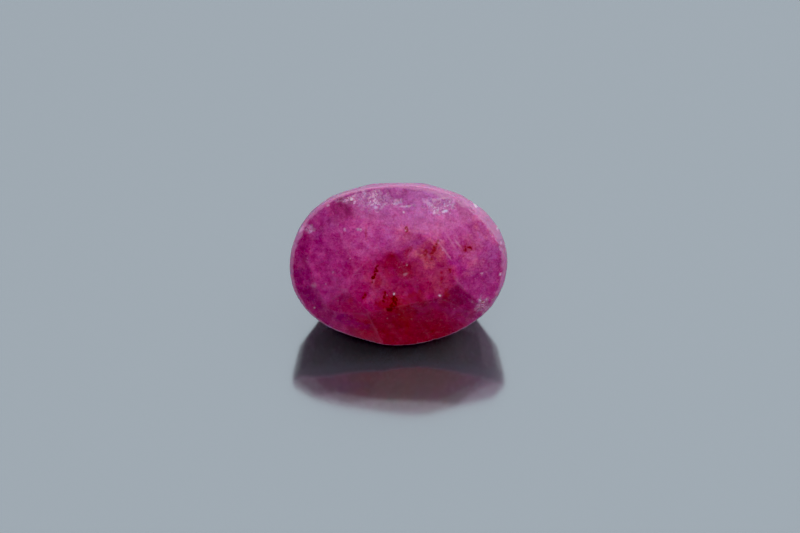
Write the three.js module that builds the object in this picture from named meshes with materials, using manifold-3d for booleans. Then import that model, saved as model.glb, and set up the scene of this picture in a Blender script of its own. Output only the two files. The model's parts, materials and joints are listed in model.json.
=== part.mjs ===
// A ruby cut by hand as an oval, in millimetres, +Z up. It has a low crown round a many-sided table, an uneven
// girdle, and a deep pavilion with one broad facet. It lies on that facet, so the table leans up and forward.
// Inside cutStone the frame is the cutter's: X the long axis, Z through the table, 0 at half of the girdle.

import * as THREE from 'three';
import { mergeVertices } from 'three/addons/utils/BufferGeometryUtils.js';
import Module from 'manifold-3d';

const wasm = await Module();
wasm.setup();

// Outline, seen through the table
const HALF_LENGTH = 4.0;
const HALF_WIDTH = 3.04;
const OUTLINE_POINTS = 96;
// Slow waves that the hand left in the outline: how many go round, how high as a share, where a crest is
const OUTLINE_WAVES = [
  { count: 1, height: 0.012, crest: -70 },
  { count: 3, height: 0.006, crest: 35 },
  { count: 4, height: 0.006, crest: 35 },
  { count: 5, height: 0.007, crest: -10 },
  { count: 6, height: 0.005, crest: 25 },
];

// Heights in the cutter's frame, and how the stone lies
const TABLE_HEIGHT = 0.9;
const GIRDLE_FOOT = -0.2;
const BLANK_DEPTH = 4.2;
const TABLE_LEAN = 31; // degrees that the table's normal is above the horizon
const REST_DISTANCE = 3.25; // from the middle of the girdle straight down to the resting facet

// Every facet faces a number of degrees anticlockwise from the long axis, and has a slope in degrees against the
// girdle. Crown mains meet the table along an edge at the given distance from the axis.
const CROWN_MAINS = [
  { faces: 34, slope: 17, edge: 1.62 },
  { faces: 129.5, slope: 12, edge: 0.93 },
  { faces: 154, slope: 15, edge: 1.34 },
  { faces: 195, slope: 15.5, edge: 2.0 },
  { faces: 225, slope: 15, edge: 1.87 },
  { faces: 282.5, slope: 27, edge: 1.35 },
  { faces: 308, slope: 21, edge: 1.76 },
  { faces: 352, slope: 25, edge: 2.2 },
];

// Girdle breaks cut the crown's rim down to the given height on the girdle wall
const GIRDLE_BREAKS = [
  { faces: 71, slope: 27, height: 0.07 },
  { faces: 95, slope: 26, height: 0.1 },
  { faces: 117, slope: 28, height: 0.1 },
  { faces: 141, slope: 30, height: 0.05 },
  { faces: 163, slope: 32, height: 0.02 },
  { faces: 184, slope: 35, height: -0.04 },
  { faces: 206, slope: 36, height: -0.02 },
  { faces: 230, slope: 35, height: 0.12 },
  { faces: 253, slope: 33, height: 0.1 },
  { faces: 306, slope: 36, height: 0.08 },
  { faces: 330, slope: 34, height: 0.11 },
];

// A steep, unpolished band that widens the girdle on the right
const GIRDLE_BAND = [
  { faces: -25, slope: 60, height: 0.04 },
  { faces: -6, slope: 60, height: -0.02 },
  { faces: 14, slope: 60, height: -0.06 },
  { faces: 33, slope: 58, height: -0.08 },
  { faces: 53, slope: 56, height: -0.02 },
  { faces: 72, slope: 60, height: 0.02 },
];

// Pavilion. Its facets are steeper at the front than at the back by twice the swing.
const UPPER_PAVILION = { count: 20, slope: 76, swing: 7 };
const MIDDLE_PAVILION = { count: 8, step: 40, slope: 53, swing: 7, depth: 1.35, depthSwing: 0.25 };
const CULET = new THREE.Vector3(0.15, -0.55, -3.4);
const LOWER_PAVILION = [
  { faces: 30, slope: 22 },
  { faces: 90, slope: 27 },
  { faces: 150, slope: 21 },
  { faces: 215, slope: 16 },
  { faces: 270, slope: 13 },
  { faces: 325, slope: 17 },
];
const BACK = 90;
const FRONT = 270;

const { degToRad } = THREE.MathUtils;

function outlineRadius(angle) {
  const oval = 1 / Math.hypot(Math.cos(angle) / HALF_LENGTH, Math.sin(angle) / HALF_WIDTH);
  let share = 1;
  for (const { count, height, crest } of OUTLINE_WAVES) {
    share += height * Math.cos(count * (angle - degToRad(crest)));
  }
  return oval * share;
}

function outlinePoints() {
  const points = [];
  for (let i = 0; i < OUTLINE_POINTS; i++) {
    const angle = (2 * Math.PI * i) / OUTLINE_POINTS;
    const radius = outlineRadius(angle);
    points.push(new THREE.Vector2(radius * Math.cos(angle), radius * Math.sin(angle)));
  }
  return points;
}

const outline = outlinePoints();

// How far the girdle reaches toward a direction
function girdleReach(faces) {
  const toward = new THREE.Vector2(Math.cos(degToRad(faces)), Math.sin(degToRad(faces)));
  return Math.max(...outline.map((point) => point.dot(toward)));
}

// The outward normal of a crown facet (side 1) or a pavilion facet (side -1)
function facetNormal(faces, slope, side) {
  const level = Math.sin(degToRad(slope));
  const rise = Math.cos(degToRad(slope)) * side;
  return new THREE.Vector3(Math.cos(degToRad(faces)) * level, Math.sin(degToRad(faces)) * level, rise);
}

// A facet through the point that lies out by reach in its own direction, at a height
function facetAt(faces, slope, side, reach, height) {
  const normal = facetNormal(faces, slope, side);
  const level = Math.sin(degToRad(slope));
  return { normal, distance: reach * level + height * normal.z };
}

function crownFacets() {
  const table = { normal: new THREE.Vector3(0, 0, 1), distance: TABLE_HEIGHT };
  const mains = CROWN_MAINS.map(({ faces, slope, edge }) => facetAt(faces, slope, 1, edge, TABLE_HEIGHT));
  const rim = [...GIRDLE_BREAKS, ...GIRDLE_BAND];
  const breaks = rim.map(({ faces, slope, height }) => facetAt(faces, slope, 1, girdleReach(faces), height));
  return [table, ...mains, ...breaks];
}

// How far round to the back a facet faces: 1 at the back, -1 at the front
function backness(faces) {
  return Math.cos(degToRad(faces - BACK));
}

function upperSlope(faces) {
  return UPPER_PAVILION.slope - UPPER_PAVILION.swing * backness(faces);
}

function upperPavilion() {
  const facets = [];
  for (let i = 0; i < UPPER_PAVILION.count; i++) {
    const faces = BACK + (360 * i) / UPPER_PAVILION.count;
    facets.push(facetAt(faces, upperSlope(faces), -1, girdleReach(faces), GIRDLE_FOOT));
  }
  return facets;
}

// Each middle facet starts where the upper one has come in to its depth
function middlePavilion() {
  const facets = [];
  for (let i = 1; i <= MIDDLE_PAVILION.count; i++) {
    const faces = FRONT + MIDDLE_PAVILION.step * i;
    const slope = MIDDLE_PAVILION.slope - MIDDLE_PAVILION.swing * backness(faces);
    const depth = MIDDLE_PAVILION.depth - MIDDLE_PAVILION.depthSwing * backness(faces);
    const inward = (depth + GIRDLE_FOOT) / Math.tan(degToRad(upperSlope(faces)));
    facets.push(facetAt(faces, slope, -1, girdleReach(faces) - inward, -depth));
  }
  return facets;
}

function lowerPavilion() {
  return LOWER_PAVILION.map(({ faces, slope }) => {
    const normal = facetNormal(faces, slope, -1);
    return { normal, distance: normal.dot(CULET) };
  });
}

// The broad facet that the stone lies on: it is level when the table leans as given
function restingFacet() {
  return { normal: facetNormal(FRONT, 90 - TABLE_LEAN, -1), distance: REST_DISTANCE };
}

function toSolid(geometry) {
  geometry.deleteAttribute('normal');
  geometry.deleteAttribute('uv');
  const merged = mergeVertices(geometry);
  return new wasm.Manifold(new wasm.Mesh({
    numProp: 3,
    vertProperties: new Float32Array(merged.attributes.position.array),
    triVerts: new Uint32Array(merged.index.array),
  }));
}

function toGeometry(solid) {
  const mesh = solid.getMesh();
  const geometry = new THREE.BufferGeometry();
  geometry.setAttribute('position', new THREE.BufferAttribute(mesh.vertProperties, 3));
  geometry.setIndex(new THREE.BufferAttribute(mesh.triVerts, 1));
  geometry.computeVertexNormals();
  return geometry;
}

// The stone before it is faceted: the outline as a straight column
function blank() {
  const column = new THREE.ExtrudeGeometry(new THREE.Shape(outline), {
    depth: BLANK_DEPTH + 2 * TABLE_HEIGHT,
    steps: 1,
    bevelEnabled: false,
  });
  column.translate(0, 0, -BLANK_DEPTH);
  return toSolid(column);
}

// The lap takes off all that lies beyond a facet's plane
function lap({ normal, distance }) {
  const size = 8 * HALF_LENGTH;
  const block = new THREE.BoxGeometry(size, size, size);
  block.translate(0, 0, size / 2 + distance);
  block.applyQuaternion(new THREE.Quaternion().setFromUnitVectors(new THREE.Vector3(0, 0, 1), normal));
  return toSolid(block);
}

function cutStone() {
  const facets = [
    ...crownFacets(),
    ...upperPavilion(),
    ...middlePavilion(),
    restingFacet(),
    ...lowerPavilion(),
  ];
  let solid = blank();
  for (const facet of facets) {
    solid = solid.subtract(lap(facet));
  }
  return toGeometry(solid);
}

const rubyMaterial = new THREE.MeshStandardMaterial({
  color: 0x9c2a6c,
  roughness: 0.28,
  metalness: 0,
  flatShading: true,
});

// The stone laid on its resting facet, centred over the origin
function lyingStone() {
  const stone = new THREE.Mesh(cutStone(), rubyMaterial);
  stone.name = 'stone';
  stone.rotation.x = degToRad(90 - TABLE_LEAN);
  stone.updateMatrixWorld(true);
  const box = new THREE.Box3().setFromObject(stone, true);
  const middle = box.getCenter(new THREE.Vector3());
  stone.position.set(-middle.x, -middle.y, REST_DISTANCE);
  return stone;
}

const ruby = new THREE.Group();
ruby.add(lyingStone());

export default ruby;
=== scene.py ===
# %% [markdown]
# # A hand-cut ruby on a pale surface
# The stone is one piece of cloudy ruby, ground by hand into an oval with flat facets. The solid that
# carries its size and its facets comes from the frame. This lesson gives it what the wheel and the ground
# gave the real one: worn edges, a frosted girdle, pits, iron stains and a colour that changes through the
# stone.

# %% Load the frame
import json

import bpy
import numpy as np
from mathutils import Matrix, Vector


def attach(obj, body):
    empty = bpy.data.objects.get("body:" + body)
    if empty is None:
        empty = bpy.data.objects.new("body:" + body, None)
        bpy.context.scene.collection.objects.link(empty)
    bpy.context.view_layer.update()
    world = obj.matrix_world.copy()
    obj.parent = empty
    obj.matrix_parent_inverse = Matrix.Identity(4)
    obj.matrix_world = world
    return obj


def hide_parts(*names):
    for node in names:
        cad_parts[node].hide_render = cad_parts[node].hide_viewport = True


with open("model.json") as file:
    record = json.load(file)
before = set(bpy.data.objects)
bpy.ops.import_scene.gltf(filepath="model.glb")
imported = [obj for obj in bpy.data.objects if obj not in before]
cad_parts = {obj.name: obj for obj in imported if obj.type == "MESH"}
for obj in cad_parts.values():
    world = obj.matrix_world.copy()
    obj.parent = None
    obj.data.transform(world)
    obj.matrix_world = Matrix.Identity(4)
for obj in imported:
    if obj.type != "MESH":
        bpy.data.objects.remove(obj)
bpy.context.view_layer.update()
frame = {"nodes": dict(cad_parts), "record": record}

# %% [markdown]
# ## The cutter's directions
# A cutter thinks of a stone with its table up, but this one lies tipped forward. The table's own normal is
# in the record, so the three directions of the cut can be worked out from it: along the stone, across it,
# and out through the table. Patterns and damage are placed in those directions, in millimetres, as a cutter
# would.

# %% The cutter's directions
MM = 0.001
table_mount = next(mount for mount in frame["record"]["mounts"] if mount["name"] == "table")
THROUGH = np.array(table_mount["axis"]) / np.linalg.norm(table_mount["axis"])
LONG = np.array([1.0, 0.0, 0.0])
ACROSS = np.cross(THROUGH, LONG)
CUT_AXES = np.stack([LONG, ACROSS, THROUGH])
print("across and through the table:", ACROSS.round(3), THROUGH.round(3))

# %% [markdown]
# ## Read the facets
# A cut stone is the space behind a set of planes, one for each facet. The solid's triangles give those
# planes: triangles that share a normal lie on the same facet. Reading them here, instead of writing them
# again, keeps the dressed stone on the same facets as the solid.

# %% Read the facets
SAME_FACET = 0.99995
SMALL_TRIANGLE = 1e-4


def facet_planes(node):
    """Outward normals, and distances from the origin in mm, of the flat facets of a solid."""
    mesh = node.data
    count = len(mesh.polygons)
    normals, centres, areas = np.empty(count * 3), np.empty(count * 3), np.empty(count)
    mesh.polygons.foreach_get("normal", normals)
    mesh.polygons.foreach_get("center", centres)
    mesh.polygons.foreach_get("area", areas)
    normals = normals.reshape(-1, 3)
    distances = (normals * centres.reshape(-1, 3) / MM).sum(axis=1)
    kept = []
    for i in np.argsort(-areas):
        if areas[i] / MM**2 < SMALL_TRIANGLE:
            break
        if not kept or (normals[kept] @ normals[i]).max() < SAME_FACET:
            kept.append(i)
    return normals[kept], distances[kept]


stone_node = frame["nodes"]["stone"]
facet_normals, facet_distances = facet_planes(stone_node)
print("facets read:", len(facet_normals))

# %% [markdown]
# ## The middle of the girdle
# The girdle is the upright rim between crown and pavilion. Of its wall facets, the one that faces most one
# way and the one that faces most the other way give the middle between them. The table lies a crown's
# height above.

# %% The middle of the girdle
CROWN_HEIGHT = 0.9
UPRIGHT = 0.02

on_wall = np.abs(facet_normals @ THROUGH) < UPRIGHT


def middle_between_walls(direction):
    """Halfway between the two walls that face along and against a direction, in mm from the origin."""
    facing = np.where(on_wall, facet_normals @ direction, 0.0)
    return (facet_distances[facing.argmax()] - facet_distances[facing.argmin()]) / 2


table_distance = np.array(table_mount["pos_m"]) @ THROUGH / MM
GIRDLE_MIDDLE = (
    LONG * middle_between_walls(LONG)
    + ACROSS * middle_between_walls(ACROSS)
    + THROUGH * (table_distance - CROWN_HEIGHT)
)
print("middle of the girdle in mm:", GIRDLE_MIDDLE.round(3))


def cut_place(points):
    """Places in mm along, across and through the stone, of points given in mm in the frame."""
    return (points - GIRDLE_MIDDLE) @ CUT_AXES.T


# %% [markdown]
# ## Soft steps
# Masks need a step that is soft on both sides. This one rises in the shape of a flat S.

# %% Soft steps


def ramp(value, start, end):
    """0 before start, 1 after end, and between them t squared times three minus two t."""
    t = np.clip((value - start) / (end - start), 0, 1)
    return t * t * (3 - 2 * t)


# %% [markdown]
# ## Rays from the heart of the stone
# The surface is a function of two angles. Rays leave the heart of the stone, and each ends where it first
# meets the plane of a facet. A grid of rays makes one closed skin, with a pole in the middle of the table
# and one at the bottom, both on flat facets where a pole doesn't show. The rings are spaced evenly along
# the stone's profile, and about twice as close on the crown, where the marks are finer. They draw closer
# over a short way below the girdle, and that way is given as two depths in mm.

# %% Rays from the heart of the stone
RAYS_ROUND = 440
RINGS = 219
HEART_DEPTH = 0.9
EDGE_WEAR = 0.011
CROWN_CLOSENESS = 2.1
CLOSER_FROM = 0.6
CLOSER_TO = 0.2
FULLY_AWAY = 1e-6
PROFILE_STEPS = 721
PROFILE_TURNS = 24

HEART = GIRDLE_MIDDLE - THROUGH * HEART_DEPTH
heart_distances = facet_distances - facet_normals @ HEART


def ray_directions(round_angles, fall_angles):
    """Unit vectors that lean from the table's normal by one angle and are turned round it by the other."""
    level = np.sin(fall_angles)
    along = level * np.cos(round_angles)
    across = level * np.sin(round_angles)
    return np.stack([along, across, np.cos(fall_angles)], axis=-1) @ CUT_AXES


def faceted_reach(rays, wear):
    """How far each ray goes to the stone's skin, and how much each facet counts there.

    A ray meets a facet's plane after the plane's distance over the cosine between ray and normal. The
    nearest plane wins. A soft minimum, wear times the logarithm of the summed exponentials, rounds the edge
    where two planes are about as near. The same exponentials, made to add up to 1, say which facets a point
    lies on.
    """
    facing = rays @ facet_normals.T
    reach = np.where(facing > FULLY_AWAY, heart_distances / np.maximum(facing, FULLY_AWAY), np.inf)
    nearest = reach.min(axis=1, keepdims=True)
    counts = np.exp((nearest - reach) / wear)
    total = counts.sum(axis=1, keepdims=True)
    return (nearest - wear * np.log(total))[:, 0], counts / total


def even_falls(rings):
    """Fall angles that space the rings evenly along the mean profile, counting the crown's length more."""
    fine = np.linspace(0, np.pi, PROFILE_STEPS)
    turns = np.linspace(0, 2 * np.pi, PROFILE_TURNS, endpoint=False)
    turn_grid, fall_grid = np.meshgrid(turns, fine)
    rays = ray_directions(turn_grid.ravel(), fall_grid.ravel())
    reach = faceted_reach(rays, EDGE_WEAR)[0].reshape(fall_grid.shape).mean(axis=1)
    step = np.hypot(np.diff(reach), reach[:-1] * np.diff(fine))
    above_heart = reach[:-1] * np.cos(fine[:-1])
    closer = ramp(above_heart, HEART_DEPTH - CLOSER_FROM, HEART_DEPTH - CLOSER_TO)
    step *= 1 + (CROWN_CLOSENESS - 1) * closer
    run = np.concatenate([[0], step.cumsum()])
    return np.interp(np.linspace(0, run[-1], rings + 2)[1:-1], run, fine)


turns = np.linspace(0, 2 * np.pi, RAYS_ROUND, endpoint=False)
falls = even_falls(RINGS)
turn_grid, fall_grid = np.meshgrid(turns, falls)
pole_falls = np.array([0, np.pi])
rays = np.concatenate([
    ray_directions(turn_grid.ravel(), fall_grid.ravel()),
    ray_directions(np.zeros(2), pole_falls),
])
reach, facet_share = faceted_reach(rays, EDGE_WEAR)
skin = HEART + rays * reach[:, None]
skin_normals = facet_share @ facet_normals
skin_normals /= np.linalg.norm(skin_normals, axis=1, keepdims=True)
place = cut_place(skin)
print("points on the skin:", len(skin), "of them on the crown:", int((place[:, 2] > 0).sum()))

# %% [markdown]
# ## Noise as a sum of waves
# Worn and broken places need an uneven pattern that can be worked out for whole arrays. Many sine waves of
# about one length, in random but seeded directions, add up to soft lumps of that size.

# %% Noise as a sum of waves
WAVES = 36


def lumps(points, size, seed):
    """Smooth noise, mostly between -1 and 1: waves of about the given size in mm, added up."""
    chance = np.random.default_rng(seed)
    ways = chance.normal(size=(3, WAVES))
    ways /= np.linalg.norm(ways, axis=0)
    lengths = size * chance.uniform(0.7, 1.5, WAVES)
    starts = chance.uniform(0, 2 * np.pi, WAVES)
    return np.sin(points @ (ways * 2 * np.pi / lengths) + starts).sum(axis=1) / np.sqrt(WAVES)


# %% [markdown]
# ## Marks on the crown
# Pits, stains and clouds of colour are all ovals with a ragged edge, and one function draws them. A mark is
# six numbers, placed from the photograph: how far along and across the stone its middle lies, its
# half length and half width, all in mm, its turn in degrees, and how strong it is.

# %% Marks on the crown
MARK_BORDER = (0.6, 1.15)
MARK_END = 2.5
FAR_OFF = 9.0
CROWN_FOOT = (-0.35, -0.1)


def mark_mask(mark, ragged, grain, seed, border=MARK_BORDER):
    """1 inside an oval mark, 0 outside it.

    The distance from the mark's middle is counted in half lengths and half widths. Lumps of noise push the
    edge in and out, and the border says over which distances the mark fades.
    """
    along, across, half_length, half_width, turn = mark[:5]
    angle = np.radians(turn)
    x, y = place[:, 0] - along, place[:, 1] - across
    u = (x * np.cos(angle) + y * np.sin(angle)) / half_length
    v = (y * np.cos(angle) - x * np.sin(angle)) / half_width
    away = np.hypot(u, v)
    near = away < MARK_END
    edge = np.full(len(place), FAR_OFF)
    edge[near] = away[near] + ragged * lumps(place[near], grain, seed)
    return 1 - ramp(edge, *border)


def all_marks(marks, ragged, grain, first_seed, border=MARK_BORDER):
    """The strongest of many marks at each point, each counted with its own strength."""
    masks = []
    for i, mark in enumerate(marks):
        masks.append(mark[5] * mark_mask(mark, ragged, grain, first_seed + i, border))
    return np.max(masks, axis=0)


on_crown = ramp(place[:, 2], *CROWN_FOOT)

# %% [markdown]
# ## Spots below the girdle
# The photograph doesn't show the pavilion, but the same rough stone goes on there. Its pits and stains are
# scattered by a seeded draw, as roundish spots with a ragged edge.

# %% Spots below the girdle
PAVILION_TOP = -0.45
SPOT_STRETCH = (0.6, 1.6)
SPOT_BORDER = (0.6, 1.2)
SPOT_END = 2.0
SPOT_RAGGED = 0.5
SPOT_GRAIN = 0.7


def spots_below(count, smallest, largest, seed):
    """Ragged spots on the pavilion: distance from a drawn point, over a drawn size, pushed by lumps."""
    chance = np.random.default_rng(seed)
    below = np.flatnonzero(place[:, 2] < PAVILION_TOP)
    mask = np.zeros(len(place))
    for middle in place[chance.choice(below, count)]:
        size = chance.uniform(smallest, largest)
        stretch = chance.uniform(*SPOT_STRETCH, 3)
        away = np.linalg.norm((place - middle) / stretch, axis=1) / size
        near = away < SPOT_END
        away[near] += SPOT_RAGGED * lumps(place[near], size * SPOT_GRAIN, seed + 1)
        mask = np.maximum(mask, 1 - ramp(away, *SPOT_BORDER))
    return mask


# %% [markdown]
# ## The frosted girdle
# Only the facets of this stone are polished. The girdle keeps the pale skin of the grinding wheel. Each
# point already knows which facets it lies on, so the share of the girdle's own facets is the mask. A pale
# line runs inside the rim too, wide on the right and hardly there below. It is drawn by the distance in
# from the outline, with a width in mm for each of eleven turns in degrees, and its inner border fades
# unevenly.

# %% The frosted girdle
BAND_SLOPE = 0.7
RIM_TURNS = [0, 35, 60, 90, 120, 160, 200, 240, 290, 320, 345]
RIM_WIDTHS = [0.22, 0.27, 0.27, 0.12, 0.08, 0.17, 0.12, 0.04, 0.02, 0.06, 0.16]
RIM_RAGGED = 0.12
RIM_BORDER = (0.6, 1.1)

lean = facet_normals @ THROUGH
girdle_facets = (lean > -UPRIGHT) & (lean < BAND_SLOPE)
girdle_share = facet_share[:, girdle_facets].sum(axis=1)

round_turn = np.degrees(np.arctan2(place[:, 1], place[:, 0])) % 360
rim_reach = np.hypot(place[:, 0], place[:, 1])
outline_reach = rim_reach[:RINGS * RAYS_ROUND].reshape(RINGS, RAYS_ROUND).max(axis=0)
inward = np.interp(round_turn, np.degrees(turns), outline_reach, period=360) - rim_reach
rim_width = np.interp(round_turn, RIM_TURNS, RIM_WIDTHS, period=360)
rim_line = 1 - ramp(inward / rim_width + RIM_RAGGED * lumps(place, 0.3, 31), *RIM_BORDER)
rim_line *= on_crown
print("girdle facets:", girdle_facets.sum(), "points on them:", int((girdle_share > 0.5).sum()))

# %% [markdown]
# ## Pits and broken places
# Cavities that were in the rough stone were left open by the cutter. Each is a shallow, ragged hollow with
# an uneven floor, and the last number is its depth in mm.

# %% Pits and broken places
HOLLOWS = [
    (-0.98, 2.55, 0.85, 0.34, -2, 0.014),
    (-2.20, 2.60, 0.45, 0.14, -22, 0.014),
    (1.45, 2.33, 0.58, 0.28, 4, 0.018),
    (-0.12, 2.46, 0.12, 0.12, 0, 0.022),
    (0.23, 2.33, 0.27, 0.05, 3, 0.018),
    (-1.48, 1.50, 0.10, 0.06, 0, 0.018),
    (-2.00, 1.48, 0.07, 0.07, 0, 0.018),
    (-3.25, 1.42, 0.18, 0.16, 30, 0.018),
    (3.02, -1.42, 0.34, 0.30, 40, 0.018),
]
PAVILION_PITS = 15
PAVILION_PIT_DEPTH = 0.03
HOLLOW_FLOOR = 0.65
HOLLOW_UNEVEN = 0.35

hollow_masks = [on_crown * mark_mask(mark, 0.35, 0.22, 100 + i) for i, mark in enumerate(HOLLOWS)]
hollow_mask = np.max(hollow_masks, axis=0)
hollow_depth = np.max([mask * mark[5] for mask, mark in zip(hollow_masks, HOLLOWS)], axis=0)
pavilion_pits = spots_below(PAVILION_PITS, 0.08, 0.26, 51)
hollow_mask = np.maximum(hollow_mask, pavilion_pits)
hollow_depth = np.maximum(hollow_depth, pavilion_pits * PAVILION_PIT_DEPTH)
hollow_depth *= HOLLOW_FLOOR + HOLLOW_UNEVEN * lumps(place, 0.16, 52)
print("points in hollows:", int((hollow_mask > 0.5).sum()))

# %% [markdown]
# ## Chips along the girdle
# The thin rim is the first thing to break. A row of small bites follows its upper edge, uneven in size and
# spacing, with a few large ones where the light catches them in the photograph. A bite is as wide as twice
# its size in mm, and its depth is a share of that size.

# %% Chips along the girdle
CHIP_COUNT = 46
CHIP_SEED = 11
CHIP_SIZES = (0.03, 0.09)
CHIP_DEPTH_SHARE = 0.35
CHIP_BOTTOM = -0.1
BIG_CHIPS = [(21, 0.12), (39, 0.15), (52, 0.12), (148, 0.12), (247, 0.12), (312, 0.09)]

chance = np.random.default_rng(CHIP_SEED)
chip_turns = chance.uniform(0, 360, CHIP_COUNT)
chip_sizes = chance.uniform(*CHIP_SIZES, CHIP_COUNT)
chips = list(zip(chip_turns, chip_sizes)) + BIG_CHIPS
rim_edge = 4 * girdle_share * (1 - girdle_share) * (place[:, 2] > CHIP_BOTTOM)
chip_depth = np.zeros(len(skin))
for turn, size in chips:
    away = np.abs((round_turn - turn + 180) % 360 - 180)
    along_rim = np.radians(away) * rim_reach
    bite = np.clip(1 - (along_rim / size) ** 2, 0, 1)
    chip_depth = np.maximum(chip_depth, bite * size * CHIP_DEPTH_SHARE)
chip_depth *= ramp(rim_edge, 0.05, 0.8)
print("deepest chip in mm:", chip_depth.max().round(3))

# %% [markdown]
# ## Press the damage into the skin
# Everything that the stone has lost goes inwards, along the normal of the facets at that point, so nothing
# stands proud of the solid. Facets that were ground by hand are never quite flat, so they also get a very
# slow, shallow swell. Where the stone rests, its facet stays whole.

# %% Press the damage into the skin
SWELL = 0.004
FROST_RELIEF = 0.006
RESTING = (0.9, 0.999)

swell = SWELL * (1 + lumps(place, 1.6, 5)) * 0.5
frost_relief = FROST_RELIEF * (1 + lumps(place, 0.13, 6)) * girdle_share
loss = np.clip(swell, 0, None) + np.clip(frost_relief, 0, None) + hollow_depth + chip_depth
rests = ramp(-skin_normals[:, 2], *RESTING)
skin = skin - skin_normals * (loss * (1 - rests))[:, None]
skin[:, 2] = np.maximum(skin[:, 2], 0)
print("greatest loss in mm:", loss.max().round(3))

# %% [markdown]
# ## Iron stains
# Rust-coloured films lie in the stone's healed cracks, mostly in the lower middle. They are small dark
# marks, and the longer ones are almost lines.

# %% Iron stains
STAINS = [
    (0.26, 1.55, 0.06, 0.13, 0, 0.85),
    (0.30, 1.38, 0.16, 0.16, 0, 0.3),
    (2.46, 0.79, 0.15, 0.12, 20, 0.85),
    (2.46, 0.79, 0.32, 0.24, 0, 0.35),
    (0.91, 0.71, 0.07, 0.16, -10, 0.75),
    (1.24, 0.80, 0.09, 0.36, -20, 0.75),
    (1.10, 0.75, 0.36, 0.40, 0, 0.2),
    (-1.22, 1.36, 0.04, 0.28, 5, 0.5),
    (-0.88, -0.05, 0.08, 0.32, -20, 1.0),
    (-0.80, -0.35, 0.14, 0.22, 0, 0.4),
    (-1.26, -0.90, 0.13, 0.075, 50, 1.0),
    (-0.57, -0.98, 0.08, 0.30, -5, 0.9),
    (-0.20, -1.15, 0.13, 0.32, 5, 1.0),
    (-0.36, -1.38, 0.15, 0.15, 0, 1.0),
    (-0.15, -1.30, 0.60, 0.42, 0, 0.5),
    (0.75, -0.76, 0.10, 0.06, 0, 0.8),
    (0.55, -0.88, 0.35, 0.12, 10, 0.5),
    (1.50, -0.42, 0.06, 0.25, -5, 0.6),
    (1.50, -0.05, 0.08, 0.05, 0, 0.5),
    (1.78, 0.05, 0.08, 0.10, 0, 0.8),
    (1.95, -0.22, 0.06, 0.06, 0, 0.5),
    (1.69, -0.85, 0.10, 0.22, 0, 0.7),
    (-1.77, -1.10, 0.10, 0.12, 0, 0.4),
    (0.29, -2.15, 0.08, 0.38, -5, 0.7),
    (0.15, -1.85, 0.25, 0.20, 0, 0.5),
    (1.19, -2.45, 0.10, 0.08, 0, 0.9),
    (1.40, -2.18, 0.07, 0.05, 0, 0.5),
    (-1.24, -2.05, 0.38, 0.05, 32, 0.5),
    (2.98, -1.28, 0.07, 0.06, 30, 0.9),
    (2.87, -1.52, 0.07, 0.06, 0, 0.8),
]
PAVILION_STAINS = 14
PAVILION_STAIN_SHARE = 0.8

stain = on_crown * all_marks(STAINS, 0.40, 0.16, 300)
stain = np.maximum(stain, PAVILION_STAIN_SHARE * spots_below(PAVILION_STAINS, 0.06, 0.22, 61))
print("stained points:", int((stain > 0.3).sum()))

# %% [markdown]
# ## Clouds of colour
# A ruby's colour lies in clouds. Deep red gathers at the middle and below, a brownish rose right of the
# middle and at the upper right, and dark plum at the ends and low on the left. Silk, which is a mist of
# fine needles, makes pale patches along the top and the right side. All of them fade away below the girdle,
# where the slow noise of the material takes over.

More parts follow.
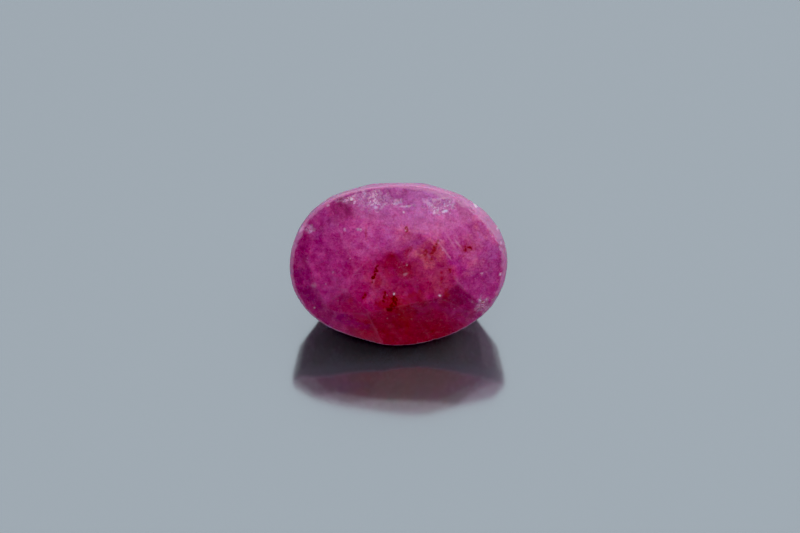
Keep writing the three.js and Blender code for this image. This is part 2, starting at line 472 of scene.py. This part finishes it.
# %% Clouds of colour
CLOUDS = {
    "crimson": [
        (-0.10, 0.18, 0.60, 0.50, 0, 1.0),
        (-0.10, -0.50, 0.60, 0.40, 0, 0.5),
        (-0.25, -1.25, 0.65, 0.45, 0, 0.8),
        (0.20, -1.85, 0.70, 0.60, 0, 1.0),
        (0.95, -2.15, 1.60, 0.70, 5, 0.65),
        (-1.00, -2.30, 1.20, 0.45, -10, 0.5),
        (1.75, -1.10, 0.45, 0.50, 0, 0.65),
        (0.95, -0.60, 0.50, 0.45, 0, 0.4),
        (0.60, -1.15, 0.60, 0.38, 0, 0.85),
        (-0.65, -0.65, 0.40, 0.35, 0, 0.35),
        (1.70, -0.10, 0.50, 0.50, 0, 0.25),
    ],
    "rosy": [
        (1.05, 0.62, 0.60, 0.62, 30, 1.0),
        (1.45, -0.35, 0.50, 0.60, 0, 0.5),
        (0.55, 0.00, 0.60, 0.50, 0, 0.35),
        (-0.80, -0.30, 0.45, 0.50, 0, 0.4),
        (0.12, -0.10, 0.22, 0.18, 0, 0.7),
        (0.30, 1.30, 0.50, 0.35, 0, 0.4),
        (2.90, 1.25, 0.50, 0.65, -35, 0.7),
        (2.60, 0.40, 0.55, 0.55, -30, 0.4),
    ],
    "plum": [
        (-2.25, 2.15, 0.70, 0.40, 25, 1.0),
        (-2.95, 1.05, 0.30, 0.42, -20, 0.8),
        (-3.60, 0.65, 0.28, 0.45, -15, 0.8),
        (-2.20, 0.30, 0.70, 0.40, 20, 0.3),
        (-3.50, -0.60, 0.35, 0.90, 12, 0.8),
        (1.98, 0.45, 0.22, 0.65, 32, 0.6),
        (2.20, -1.05, 0.50, 0.30, -30, 0.4),
        (0.05, 2.80, 0.45, 0.12, 0, 0.4),
        (-2.00, -1.90, 0.60, 0.25, -20, 0.8),
        (-1.50, -2.20, 0.50, 0.20, -10, 0.5),
        (-3.10, -1.10, 0.50, 0.40, -45, 0.5),
    ],
    "silk": [
        (-0.90, 2.50, 0.95, 0.42, 0, 0.6),
        (-2.15, 2.62, 0.48, 0.16, -25, 0.2),
        (1.45, 2.35, 0.75, 0.45, 0, 1.0),
        (0.60, 2.20, 1.30, 0.50, 0, 0.7),
        (0.30, 1.70, 1.60, 0.45, 5, 0.5),
        (-0.90, 1.10, 1.00, 0.50, 20, 0.45),
        (2.20, 1.60, 0.90, 0.50, -25, 0.5),
        (2.70, 0.75, 0.75, 0.70, -30, 0.5),
        (-2.60, 1.55, 0.60, 0.30, 35, 0.4),
        (-3.20, 1.35, 0.30, 0.25, 0, 0.5),
        (3.30, -0.20, 0.35, 0.80, -5, 0.5),
        (3.05, -1.35, 0.42, 0.50, 30, 0.4),
        (3.35, 0.75, 0.40, 0.65, 25, 0.8),
        (-2.00, -0.40, 0.80, 0.45, 30, 0.25),
        (-0.90, -0.90, 0.40, 0.35, 0, 0.25),
        (3.00, 1.30, 0.45, 0.50, -35, 1.0),
        (2.75, 1.80, 0.35, 0.30, -40, 0.7),
        (1.05, 2.55, 0.65, 0.25, -8, 0.9),
        (0.50, 1.25, 0.35, 0.30, 0, 0.6),
        (-0.65, 1.25, 0.40, 0.30, 0, 0.6),
    ],
}
CLOUD_BORDER = (0.35, 1.35)
CLOUD_BOTTOM = (-1.2, -0.1)
CLOUD_SEED = 400
SEEDS_FOR_EACH = 40

cloud_fade = ramp(place[:, 2], *CLOUD_BOTTOM)
clouds = {}
for row, (name, marks) in enumerate(CLOUDS.items()):
    first_seed = CLOUD_SEED + SEEDS_FOR_EACH * row
    clouds[name] = cloud_fade * all_marks(marks, 0.30, 0.45, first_seed, CLOUD_BORDER)
for name, cloud in clouds.items():
    print(name, "covers points:", int((cloud > 0.3).sum()))

# %% [markdown]
# ## Painted highlights
# Where fresh breaks, the ends of needles and the rim catch the light, white highlights are painted into the
# colour. They are the smallest marks: points, the bright outline of a shell-shaped break at the upper
# right, and a few sparks on the rim.

# %% Painted highlights
PAINTED_HIGHLIGHTS = [
    (-0.20, -0.83, 0.045, 0.045, 0, 0.9),
    (1.44, -0.90, 0.04, 0.04, 0, 0.8),
    (0.26, 0.24, 0.03, 0.03, 0, 0.5),
    (0.20, -0.10, 0.09, 0.05, 30, 0.25),
    (2.97, -0.18, 0.04, 0.04, 0, 0.7),
    (3.66, -0.29, 0.045, 0.045, 0, 0.7),
    (-2.00, 1.50, 0.035, 0.07, 0, 0.4),
    (-1.52, 1.52, 0.04, 0.035, 0, 0.7),
    (-1.41, 1.52, 0.035, 0.035, 0, 0.7),
    (-1.74, 2.54, 0.055, 0.055, 0, 0.9),
    (-1.62, 2.66, 0.08, 0.04, 50, 0.5),
    (-2.60, 2.28, 0.06, 0.04, 40, 0.5),
    (-0.86, 2.28, 0.07, 0.05, 0, 0.5),
    (-0.95, 2.66, 0.045, 0.045, 0, 0.8),
    (-0.12, 2.46, 0.11, 0.11, 0, 0.35),
    (0.23, 2.33, 0.27, 0.035, 3, 0.40),
    (0.14, 2.13, 0.035, 0.035, 0, 0.6),
    (1.62, 2.12, 0.13, 0.045, 18, 0.9),
    (1.24, 2.08, 0.08, 0.05, 15, 0.6),
    (1.45, 2.54, 0.36, 0.035, 8, 0.45),
    (1.92, 2.36, 0.04, 0.20, -18, 0.40),
    (1.02, 2.42, 0.24, 0.08, -32, 0.35),
    (2.74, 2.24, 0.11, 0.06, -50, 1.0),
    (3.54, 1.37, 0.055, 0.055, 0, 1.0),
    (3.68, 0.88, 0.04, 0.06, 0, 0.6),
    (-3.55, 1.38, 0.06, 0.15, -35, 0.5),
    (-3.10, -1.52, 0.04, 0.04, 0, 0.6),
    (-2.42, -0.08, 0.035, 0.035, 0, 0.4),
    (-3.10, -0.60, 0.10, 0.08, 0, 0.2),
]
# Painted highlights: white marks where breaks and the rim catch the light.
painted_highlight = on_crown * all_marks(PAINTED_HIGHLIGHTS, 0.20, 0.12, 700)
print("glinting points:", int((painted_highlight > 0.3).sum()))

# %% [markdown]
# ## Growth streaks and a painted edge highlight
# The crystal grew in flat sheets, and where a few of them are milky they show as straight pale lines,
# nearly all in one direction. The first line lies on a facet edge and is a painted highlight. They are very
# long, thin marks.

# %% Growth streaks and a painted edge highlight
STREAKS_AND_EDGE_HIGHLIGHT = [
    # The first line is a painted highlight along a facet edge; the others are growth streaks.
    (1.58, 0.82, 0.62, 0.050, -55, 0.85),
    (1.84, 1.10, 0.62, 0.050, -60, 0.60),
    (2.12, 0.95, 0.32, 0.045, -52, 1.00),
    (1.36, 1.30, 0.40, 0.040, -55, 0.45),
    (2.00, 1.35, 0.40, 0.035, -57, 0.40),
    (2.45, 1.35, 0.50, 0.050, -55, 0.35),
    (1.05, 0.55, 0.45, 0.060, -55, 0.30),
    (2.15, -0.45, 0.55, 0.035, -52, 0.40),
    (-0.95, -0.35, 0.05, 0.35, -18, 0.35),
]
STREAK_BORDER = (0.2, 1.1)

streak = on_crown * all_marks(STREAKS_AND_EDGE_HIGHLIGHT, 0.15, 0.30, 800, STREAK_BORDER)
print("streaked points:", int((streak > 0.2).sum()))

# %% [markdown]
# ## Each facet has its own painted shade
# Behind every facet the eye meets a different depth of stone, so in a cloudy stone neighbouring facets
# differ in brightness, and that is what makes their edges visible. This light and shade is painted into the
# colour, one shade for each facet. The shades of the crown are set for the facets that the photograph
# shows. Each is given after the way the facet faces and its slope, in degrees. The other facets get one
# seeded number each.

# %% Each facet has its own painted shade
SHADE_SEED = 4
STRONGEST_SHADE = 0.8
CROWN_SHADES = [
    (0, 0, 0.0),
    (34, 17, 0.25),
    (352, 25, 0.25),
    (308, 21, -1.0),
    (282.5, 27, -0.1),
    (225, 15, -0.45),
    (195, 15.5, 0.1),
    (154, 15, 0.0),
    (129.5, 12, 0.2),
    (95, 26, -0.1),
    (71, 27, 0.0),
    (117, 28, -0.4),
    (141, 30, -0.2),
    (163, 32, -0.3),
    (184, 35, -0.2),
    (206, 36, -0.2),
    (230, 35, -0.2),
    (253, 33, 0.1),
    (306, 36, 0.2),
    (330, 34, 0.3),
]

shades = np.random.default_rng(SHADE_SEED).uniform(-STRONGEST_SHADE, STRONGEST_SHADE, len(facet_normals))
for faces, slope, painted_shade in CROWN_SHADES:
    round_angle, fall_angle = np.radians([faces, slope])
    way = ray_directions(round_angle, fall_angle)
    shades[(facet_normals @ way).argmax()] = painted_shade
# Painted shade: each point mixes the painted shades of the facets it lies on.
facet_shade = facet_share @ shades
edge = 1 - facet_share.max(axis=1)
print("facet tones:", shades.min().round(2), "to", shades.max().round(2))

# %% [markdown]
# ## The mesh of the stone
# The grid becomes four-sided faces, ring after ring, with the last ray joined to the first. Two fans of
# triangles close the poles. The marks travel with the points as attributes, which the material reads.

# %% The mesh of the stone
FULL_CHIP = 0.02

point = np.arange(RINGS * RAYS_ROUND).reshape(RINGS, RAYS_ROUND)
turned = np.roll(point, -1, axis=1)
quads = np.stack([point[:-1], point[1:], turned[1:], turned[:-1]], axis=-1).reshape(-1, 4)
top_pole, bottom_pole = RINGS * RAYS_ROUND, RINGS * RAYS_ROUND + 1
top_fan = np.stack([np.full(RAYS_ROUND, top_pole), point[0], turned[0]], axis=-1)
bottom_fan = np.stack([np.full(RAYS_ROUND, bottom_pole), turned[-1], point[-1]], axis=-1)

ruby_mesh = bpy.data.meshes.new("ruby")
ruby_mesh.from_pydata((skin * MM).tolist(), [], quads.tolist() + top_fan.tolist() + bottom_fan.tolist())
ruby_mesh.polygons.foreach_set("use_smooth", np.ones(len(ruby_mesh.polygons), dtype=bool))
for name, values in {
    "girdle": girdle_share,
    "rim": rim_line,
    "hollow": hollow_mask,
    "chip": np.clip(chip_depth / FULL_CHIP, 0, 1),
    "stain": stain,
    "painted_highlight": painted_highlight,
    "streak": streak,
    "facet_shade": facet_shade,
    "edge": edge,
    **clouds,
}.items():
    layer = ruby_mesh.attributes.new(name, "FLOAT", "POINT")
    layer.data.foreach_set("value", values.astype(np.float32))
ruby_mesh.update()
ruby = bpy.data.objects.new("ruby", ruby_mesh)
bpy.context.scene.collection.objects.link(ruby)
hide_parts("stone")
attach(ruby, "root")
print("faces:", len(ruby_mesh.polygons))

# %% [markdown]
# ## Helpers for shader trees
# A material is a tree of nodes. A few small helpers keep the cells short: each adds a node or two, sets
# them, and fills their inputs with plain values or joins them to other nodes.

# %% Helpers for shader trees


def fill(tree, socket, value):
    """Joins a socket to another, or gives it a plain value."""
    if isinstance(value, bpy.types.NodeSocket):
        tree.links.new(value, socket)
    else:
        socket.default_value = value


def mixed(tree, share, first, second, blend="MIX"):
    """A colour between two colours, or the first multiplied by the second, by a share from 0 to 1."""
    node = tree.nodes.new("ShaderNodeMix")
    node.data_type = "RGBA"
    node.blend_type = blend
    node.clamp_factor = True
    for index, value in ((0, share), (6, first), (7, second)):
        fill(tree, node.inputs[index], value)
    return node.outputs[2]


def calculated(tree, operation, *values):
    """A Math node's answer."""
    node = tree.nodes.new("ShaderNodeMath")
    node.operation = operation
    for index, value in enumerate(values):
        fill(tree, node.inputs[index], value)
    return node.outputs[0]


def product(tree, *values):
    """All values multiplied."""
    answer = values[0]
    for value in values[1:]:
        answer = calculated(tree, "MULTIPLY", answer, value)
    return answer


def ranged(tree, value, low_in, high_in, low_out=0.0, high_out=1.0):
    """A value carried from one range to another with a smooth start and end."""
    node = tree.nodes.new("ShaderNodeMapRange")
    node.interpolation_type = "SMOOTHSTEP"
    for index, number in enumerate((value, low_in, high_in, low_out, high_out)):
        fill(tree, node.inputs[index], number)
    return node.outputs[0]


def attribute(tree, name):
    """A mark that travels with the mesh."""
    node = tree.nodes.new("ShaderNodeAttribute")
    node.attribute_name = name
    return node.outputs["Fac"]


def mapped(tree, vector, turn=0.0, scale=(1.0, 1.0, 1.0), location=(0.0, 0.0, 0.0), axis=2):
    """A Mapping node: scales the place, turns it about one axis by radians, and moves it."""
    node = tree.nodes.new("ShaderNodeMapping")
    tree.links.new(vector, node.inputs["Vector"])
    node.inputs["Scale"].default_value = scale
    node.inputs["Rotation"].default_value[axis] = turn
    node.inputs["Location"].default_value = location
    return node.outputs["Vector"]


def noise(tree, vector, scale, detail=3.0, roughness=0.55):
    """Blender's noise, with its scale counted per millimetre."""
    node = tree.nodes.new("ShaderNodeTexNoise")
    for name, value in (("Vector", vector), ("Scale", scale), ("Detail", detail), ("Roughness", roughness)):
        fill(tree, node.inputs[name], value)
    return node.outputs["Fac"]


def between(tree, operation, first, second):
    """A Vector Math node's answer: one number for a dot product, else a vector."""
    node = tree.nodes.new("ShaderNodeVectorMath")
    node.operation = operation
    fill(tree, node.inputs[0], first)
    fill(tree, node.inputs[1], second)
    return node.outputs["Value" if operation == "DOT_PRODUCT" else "Vector"]


def chance_cells(tree, vector):
    """A Voronoi pattern with cells about 1 wide, and one chance number from 0 to 1 for each cell."""
    cells = tree.nodes.new("ShaderNodeTexVoronoi")
    tree.links.new(vector, cells.inputs["Vector"])
    cells.inputs["Scale"].default_value = 1.0
    numbers = tree.nodes.new("ShaderNodeSeparateColor")
    tree.links.new(cells.outputs["Color"], numbers.inputs[0])
    return cells, numbers.outputs[0]


def linear(red, green, blue):
    """A colour as a screen shows it, 0 to 255, made linear, with full alpha."""
    shares = np.array([red, green, blue]) / 255
    values = np.where(shares <= 0.04045, shares / 12.92, ((shares + 0.055) / 1.055) ** 2.4)
    return (*values.tolist(), 1.0)


# %% [markdown]
# ## Ruby
# Ruby is aluminium oxide coloured by a little chromium. This one is full of fine needles and healed cracks,
# so light goes in, is scattered and comes out near where it entered. Subsurface scattering does that, under
# a glossy skin with corundum's refractive index. All patterns are worked out from the place in the stone,
# in the cutter's directions and in millimetres.

# %% Ruby: the place in the stone
ruby_material = bpy.data.materials.new("ruby")
ruby_material.use_nodes = True
tree = ruby_material.node_tree
tree.nodes.clear()
object_place = tree.nodes.new("ShaderNodeTexCoord").outputs["Object"]
turn_back = -float(np.arctan2(ACROSS[2], ACROSS[1]))
per_mm = (1 / MM, 1 / MM, 1 / MM)
cut = mapped(tree, object_place, turn_back, per_mm, tuple(-(CUT_AXES @ GIRDLE_MIDDLE)), axis=0)
sides = tree.nodes.new("ShaderNodeSeparateXYZ")
tree.links.new(cut, sides.inputs[0])
along, across = sides.outputs["X"], sides.outputs["Y"]
print("pattern turned back by", round(np.degrees(turn_back), 1), "degrees")

# %% [markdown]
# The colour grows upward through the stone, from crimson through magenta and rose to a violet pink, and the
# two ends are plum. The upward change is partly the stone's own zoning and partly painted light: light
# enters from above, so the colour is painted paler at the top and deeper below. A slow noise bends the
# borders, so that no band is straight.

# %% Ruby: zones of colour and painted light from above
BORDER_BEND = 1.8
MIDDLE_ALONG = 0.1
CRIMSON = linear(190, 3, 44)
MAGENTA = linear(196, 38, 118)
ROSE = linear(216, 84, 164)
VIOLET_PINK = linear(194, 84, 170)
PLUM = linear(194, 58, 144)

bend = calculated(tree, "SUBTRACT", noise(tree, cut, 0.6, 2.0), 0.5)
height = calculated(tree, "ADD", across, product(tree, bend, BORDER_BEND))
# Painted light: the colour is paler toward the top and deeper below, over the stone's own zoning.
colour = mixed(tree, ranged(tree, height, -2.4, -0.7), CRIMSON, MAGENTA)
colour = mixed(tree, ranged(tree, height, -0.2, 1.5), colour, ROSE)
off_middle = calculated(tree, "ABSOLUTE", calculated(tree, "SUBTRACT", along, MIDDLE_ALONG))
end_share = ranged(tree, calculated(tree, "ADD", off_middle, bend), 1.2, 2.8, 0.0, 0.8)
colour = mixed(tree, end_share, colour, PLUM)
colour = mixed(tree, ranged(tree, height, 1.5, 2.8), colour, VIOLET_PINK)

# %% [markdown]
# The clouds come next, broken up by noise, and then the painted shade of the facet, which multiplies the
# colour by a factor between shaded and lit. Three sizes of noise multiply it too, as thick and thin places.

# %% Ruby: clouds and painted facet shades
DEEP_RED = linear(170, 0, 26)
BROWN_ROSE = linear(222, 98, 128)
DARK_PLUM = linear(172, 0, 124)
SHADED = (0.74, 0.15, 0.52, 1.0)
LIT = (1.20, 1.80, 1.40, 1.0)
THICK = (0.88, 0.62, 0.84, 1.0)
THIN = (1.10, 1.35, 1.14, 1.0)

wisps = noise(tree, cut, 1.7, 5.0, 0.6)
patches = noise(tree, cut, 4.0, 6.0, 0.65)
needles = noise(tree, cut, 15.0, 5.0, 0.75)
rosy_share = product(tree, attribute(tree, "rosy"), ranged(tree, patches, 0.30, 0.60, 0.35, 1.0))
colour = mixed(tree, rosy_share, colour, BROWN_ROSE)
crimson_share = product(tree, attribute(tree, "crimson"), ranged(tree, wisps, 0.35, 0.60, 0.7, 1.0))
colour = mixed(tree, crimson_share, colour, DEEP_RED)
plum_share = product(tree, attribute(tree, "plum"), ranged(tree, patches, 0.64, 0.42, 0.4, 1.0))
colour = mixed(tree, plum_share, colour, DARK_PLUM)

# Painted shade: the facet's share of light and shade multiplies the colour.
shade_factor = mixed(tree, ranged(tree, attribute(tree, "facet_shade"), -1.0, 1.0), SHADED, LIT)
colour = mixed(tree, 1.0, colour, shade_factor, "MULTIPLY")
for cloudy, low, high in ((wisps, 0.32, 0.68), (patches, 0.37, 0.63), (needles, 0.40, 0.60)):
    thickness = mixed(tree, ranged(tree, cloudy, low, high), THICK, THIN)
    colour = mixed(tree, 1.0, colour, thickness, "MULTIPLY")

# %% [markdown]
# Growth layers show as straight streaks, because the crystal grew in flat sheets. The marks are the strong
# ones, one of them a painted highlight along a facet edge, and a noise drawn out along the sheets adds very
# faint ones. Silk is a cloudy noise with a fine grain in it, strong where the silk clouds are and faint
# elsewhere.

# %% Ruby: growth streaks, a painted edge highlight and silk
STREAK_TURN = 58
STREAK_SCALE = 0.4
DRAWN_OUT = 13.0
FAINTEST = 0.05
STREAK_PALE = linear(232, 150, 190)
SILK_PALE = linear(218, 120, 204)
SILK_SHARE = 0.85
SILK_EVERYWHERE = 0.10

streak_place = mapped(tree, cut, np.radians(STREAK_TURN), (STREAK_SCALE, STREAK_SCALE, STREAK_SCALE))
drawn_out = mapped(tree, streak_place, 0.0, (1.0, DRAWN_OUT, 1.0))
faint_streak = ranged(tree, noise(tree, drawn_out, 1.0, 2.0), 0.50, 0.70, 0.0, FAINTEST)
streak = calculated(tree, "MAXIMUM", attribute(tree, "streak"), faint_streak)
# Pale streaks, one of them a painted highlight along a facet edge.
colour = mixed(tree, streak, colour, STREAK_PALE)
mist = calculated(tree, "MULTIPLY_ADD", attribute(tree, "silk"), SILK_SHARE, SILK_EVERYWHERE)
mist_share = product(
    tree, mist, ranged(tree, patches, 0.34, 0.66, 0.35, 1.0), ranged(tree, needles, 0.36, 0.64, 0.25, 1.0)
)
colour = mixed(tree, mist_share, colour, SILK_PALE)

# %% [markdown]
# Where the skin is broken it is splintered into flakes. A flake is one cell of a Voronoi pattern, tilted by
# a chance amount: its height is the place in the cell, times a random direction. About one flake in four
# lies so that it shines, and that shine is painted into the colour as a white highlight. Pin points, seen
# all over the real stone, are the middles of a few cells of a coarser pattern.

# %% Ruby: flakes and pin points
FLAKES_PER_MM = 22.0
FLAKE_TILT = 0.9
SHINING = (0.66, 0.80)
POINTS_PER_MM = 4.5
POINT_CELLS = (0.86, 0.94)

flake_place = mapped(tree, cut, 0.0, (FLAKES_PER_MM, FLAKES_PER_MM, FLAKES_PER_MM))
flakes, flake_pick = chance_cells(tree, flake_place)
in_cell = between(tree, "SUBTRACT", flake_place, flakes.outputs["Position"])
tilt = between(tree, "SUBTRACT", flakes.outputs["Color"], (0.5, 0.5, 0.5))
flake_height = between(tree, "DOT_PRODUCT", in_cell, tilt)
broken = calculated(tree, "MAXIMUM", attribute(tree, "hollow"), attribute(tree, "chip"))
shining_patches = ranged(tree, patches, 0.38, 0.60, 0.1, 0.7)
# Painted highlight: the shining flakes are painted white.
flake_highlight = product(tree, ranged(tree, flake_pick, *SHINING), broken, shining_patches)

point_place = mapped(tree, cut, 0.0, (POINTS_PER_MM, POINTS_PER_MM, POINTS_PER_MM))
points, point_pick = chance_cells(tree, point_place)
pin_point = ranged(tree, points.outputs["Distance"], 0.16, 0.07, 0.0, 0.35)
pin_point = product(tree, pin_point, ranged(tree, point_pick, *POINT_CELLS))

# %% [markdown]
# Stains add rust, in broken specks. Worn or frosted places turn pale, because a rough skin scatters white
# light before it goes in. The marked glints and the shining flakes are painted highlights, almost white,
# and the pin points are almost white too.

# %% Ruby: stains, frost and painted highlights
FROST_STRENGTH = 0.5
EDGE_STRENGTH = 0.14
RUST_FILM = linear(182, 36, 30)
RUST_HEART = linear(124, 8, 2)
FROST_PINK = linear(222, 150, 202)
RIM_PINK = linear(220, 152, 200)
HIGHLIGHT_AND_SPECK_WHITE = linear(255, 228, 252)

stain_break = ranged(tree, noise(tree, cut, 11.0, 4.0), 0.32, 0.52, 0.40, 1.0)
stain_share = product(tree, attribute(tree, "stain"), stain_break)
colour = mixed(tree, stain_share, colour, RUST_FILM)
colour = mixed(tree, ranged(tree, stain_share, 0.60, 1.0), colour, RUST_HEART)
frost = calculated(tree, "MAXIMUM", broken, attribute(tree, "girdle"))
frost_share = product(tree, frost, ranged(tree, needles, 0.38, 0.60, 0.15, 1.0))
colour = mixed(tree, product(tree, frost_share, FROST_STRENGTH), colour, FROST_PINK)
rim_share = product(tree, attribute(tree, "rim"), ranged(tree, needles, 0.30, 0.60, 0.45, 0.85))
colour = mixed(tree, rim_share, colour, RIM_PINK)
edge_share = ranged(tree, attribute(tree, "edge"), 0.2, 0.6, 0.0, EDGE_STRENGTH)
colour = mixed(tree, edge_share, colour, FROST_PINK)
# Painted highlights: the marked glints and shining flakes, with the white pin points, turn the colour
# almost white.
highlight_and_speck_share = calculated(tree, "MAXIMUM", attribute(tree, "painted_highlight"), flake_highlight)
highlight_and_speck_share = calculated(tree, "MAXIMUM", highlight_and_speck_share, pin_point)
colour = mixed(tree, highlight_and_speck_share, colour, HIGHLIGHT_AND_SPECK_WHITE)

# %% [markdown]
# The polish is good but old: a low roughness with fine uneven rubs, and none on the frosted places. The
# bump carries what is too small for the mesh: faint rubs all over, and the tilted flakes in the broken
# places. Its heights are in mm.

# %% Ruby: polish and relief
POLISH = (0.17, 0.32)
FROSTED_ROUGHNESS = 0.45
RIM_FROST = 0.6
RUB_RELIEF = 0.0016
FROST_GRAIN = 0.012

rub = noise(tree, cut, 5.0, 6.0, 0.7)
polish = ranged(tree, rub, 0.3, 0.7, *POLISH)
frosted = calculated(tree, "MAXIMUM", frost_share, product(tree, rim_share, RIM_FROST))
rough = tree.nodes.new("ShaderNodeMix")
rough.data_type = "FLOAT"
for index, value in ((0, frosted), (2, polish), (3, FROSTED_ROUGHNESS)):
    fill(tree, rough.inputs[index], value)

flake_relief = product(tree, flake_height, FLAKE_TILT / FLAKES_PER_MM, broken)
grain_relief = calculated(tree, "MULTIPLY_ADD", frosted, FROST_GRAIN, RUB_RELIEF)
rub_relief = product(tree, needles, grain_relief)
bump = tree.nodes.new("ShaderNodeBump")
bump.inputs["Strength"].default_value = 1.0
bump.inputs["Distance"].default_value = MM
tree.links.new(calculated(tree, "ADD", flake_relief, rub_relief), bump.inputs["Height"])

# %% [markdown]
# One shader joins them. The scattering reaches less than half a millimetre, and furthest for red.

# %% Ruby: the shader
CORUNDUM_INDEX = 1.77
SCATTER_METRES = 0.00025
SCATTER_SHARES = (1.0, 0.2, 0.4)

shader = tree.nodes.new("ShaderNodeBsdfPrincipled")
shader.subsurface_method = "RANDOM_WALK"
for name, value in {
    "Base Color": colour,
    "Roughness": rough.outputs[0],
    "Normal": bump.outputs["Normal"],
    "IOR": CORUNDUM_INDEX,
    "Subsurface Weight": 1.0,
    "Subsurface Scale": SCATTER_METRES,
    "Subsurface Radius": SCATTER_SHARES,
}.items():
    fill(tree, shader.inputs[name], value)
output = tree.nodes.new("ShaderNodeOutputMaterial")
tree.links.new(shader.outputs["BSDF"], output.inputs["Surface"])
ruby_mesh.materials.append(ruby_material)
print("nodes in the ruby material:", len(tree.nodes))

# %% [markdown]
# ## The surface it lies on
# A plain pale sheet, polished enough to mirror the stone, carries it. It is only the stage, so it has one
# finish.

# %% The surface it lies on
FLOOR_HALF = 0.6
FLOOR_GREY = linear(155, 162, 168)
FLOOR_ROUGHNESS = 0.11
FLOOR_METALLIC = 0.85

floor_mesh = bpy.data.meshes.new("floor")
corners = [(x * FLOOR_HALF, y * FLOOR_HALF, 0) for x, y in ((-1, -1), (1, -1), (1, 1), (-1, 1))]
floor_mesh.from_pydata(corners, [], [(0, 1, 2, 3)])
floor = bpy.data.objects.new("floor", floor_mesh)
bpy.context.scene.collection.objects.link(floor)
floor_material = bpy.data.materials.new("floor")
floor_material.use_nodes = True
floor_shader = floor_material.node_tree.nodes["Principled BSDF"]
floor_shader.inputs["Base Color"].default_value = FLOOR_GREY
floor_shader.inputs["Roughness"].default_value = FLOOR_ROUGHNESS
floor_shader.inputs["Metallic"].default_value = FLOOR_METALLIC
floor_mesh.materials.append(floor_material)

# %% [markdown]
# ## Soft light
# A pale sky gives the soft studio light. It is brightest behind and above, a little to the right, where the
# surface and the upper right facets mirror it. In front it is dark, so the table keeps its depth of colour.
# A soft box in front lights the face of the stone. A photographer would put a polarising filter over it, to
# keep its mirror image out of the picture, and here it is hidden from mirror-like rays instead. The
# picture's black point is set a little above nothing.

# %% Soft light
SKY = (0.93, 0.97, 1.0, 1.0)
BRIGHT_WAY = (0.3, 0.5, 0.812)
SKY_RANGE = (0.25, 0.95)
SKY_STRENGTHS = (0.05, 1.2)
BOX_WATTS = 0.89
BOX_PLACE = (-0.05, -0.31, 0.33)
BOX_SIZE = 0.24
BLACK_LEVEL = 0.0115

world = bpy.data.worlds.new("studio")
bpy.context.scene.world = world
world.use_nodes = True
sky = world.node_tree
facing_bright = sky.nodes.new("ShaderNodeVectorMath")
facing_bright.operation = "DOT_PRODUCT"
sky.links.new(sky.nodes.new("ShaderNodeTexCoord").outputs["Generated"], facing_bright.inputs[0])
facing_bright.inputs[1].default_value = BRIGHT_WAY
sky_strength = ranged(sky, facing_bright.outputs["Value"], *SKY_RANGE, *SKY_STRENGTHS)
sky.nodes["Background"].inputs["Color"].default_value = SKY
sky.links.new(sky_strength, sky.nodes["Background"].inputs["Strength"])

box_light = bpy.data.lights.new("soft_box", "AREA")
box_light.shape = "SQUARE"
box_light.size = BOX_SIZE
box_light.energy = BOX_WATTS
box = bpy.data.objects.new("soft_box", box_light)
box.location = BOX_PLACE
box.rotation_euler = Vector(BOX_PLACE).to_track_quat("Z", "Y").to_euler()
box.visible_glossy = False
bpy.context.scene.collection.objects.link(box)

view = bpy.context.scene.view_settings
view.view_transform = "Standard"
view.use_curve_mapping = True
view.curve_mapping.black_level = (BLACK_LEVEL, BLACK_LEVEL, BLACK_LEVEL)
view.curve_mapping.update()

# %% [markdown]
# ## The camera
# A long lens looks down at 46 degrees from straight in front. The stone's outline fills 218 of the
# picture's 800 columns. A few rounds correct the lens by the outline's width and move the camera's aim by
# how far the outline's middle is off, until the outline sits where it does in the photograph.

# %% The camera
PICTURE = (800, 533)
ELEVATION = np.radians(46)
CAMERA_DISTANCE = 0.16
SENSOR = 36.0
OUTLINE_BOX = (289.7, 181.7, 507.4, 346.4)
FIRST_AIM = (0.0, 0.0, 0.003)
FIRST_LENS = 180.0
ROUNDS = 6
NEAREST = 0.01
FARTHEST = 5.0

toward_camera = np.array([0.0, -np.cos(ELEVATION), np.sin(ELEVATION)])
picture_up = np.array([0.0, np.sin(ELEVATION), np.cos(ELEVATION)])
camera_data = bpy.data.cameras.new("camera")
camera_data.sensor_width = SENSOR
camera = bpy.data.objects.new("camera", camera_data)
bpy.context.scene.collection.objects.link(camera)
bpy.context.scene.camera = camera


def outline_in_picture(aim, lens):
    """The stone's outline in pixels: left, top, right and bottom, for a camera that looks at a point."""
    away = skin * MM - (aim + toward_camera * CAMERA_DISTANCE)
    depth = -away @ toward_camera
    scale = lens / SENSOR * PICTURE[0]
    columns = PICTURE[0] / 2 + scale * away[:, 0] / depth
    rows = PICTURE[1] / 2 - scale * (away @ picture_up) / depth
    return np.array([columns.min(), rows.min(), columns.max(), rows.max()])


aim = np.array(FIRST_AIM)
lens = FIRST_LENS
for _ in range(ROUNDS):
    seen = outline_in_picture(aim, lens)
    lens *= (OUTLINE_BOX[2] - OUTLINE_BOX[0]) / (seen[2] - seen[0])
    per_pixel = CAMERA_DISTANCE * SENSOR / lens / PICTURE[0]
    aim[0] += (seen[0] + seen[2] - OUTLINE_BOX[0] - OUTLINE_BOX[2]) / 2 * per_pixel
    aim += picture_up * ((OUTLINE_BOX[1] + OUTLINE_BOX[3] - seen[1] - seen[3]) / 2 * per_pixel)
camera_data.lens = lens
camera.location = Vector(aim + toward_camera * CAMERA_DISTANCE)
camera.rotation_euler = Vector(toward_camera).to_track_quat("Z", "Y").to_euler()
camera_data.clip_start = NEAREST
camera_data.clip_end = FARTHEST
print("lens", round(lens, 1), "outline in pixels", outline_in_picture(aim, lens).round(1))
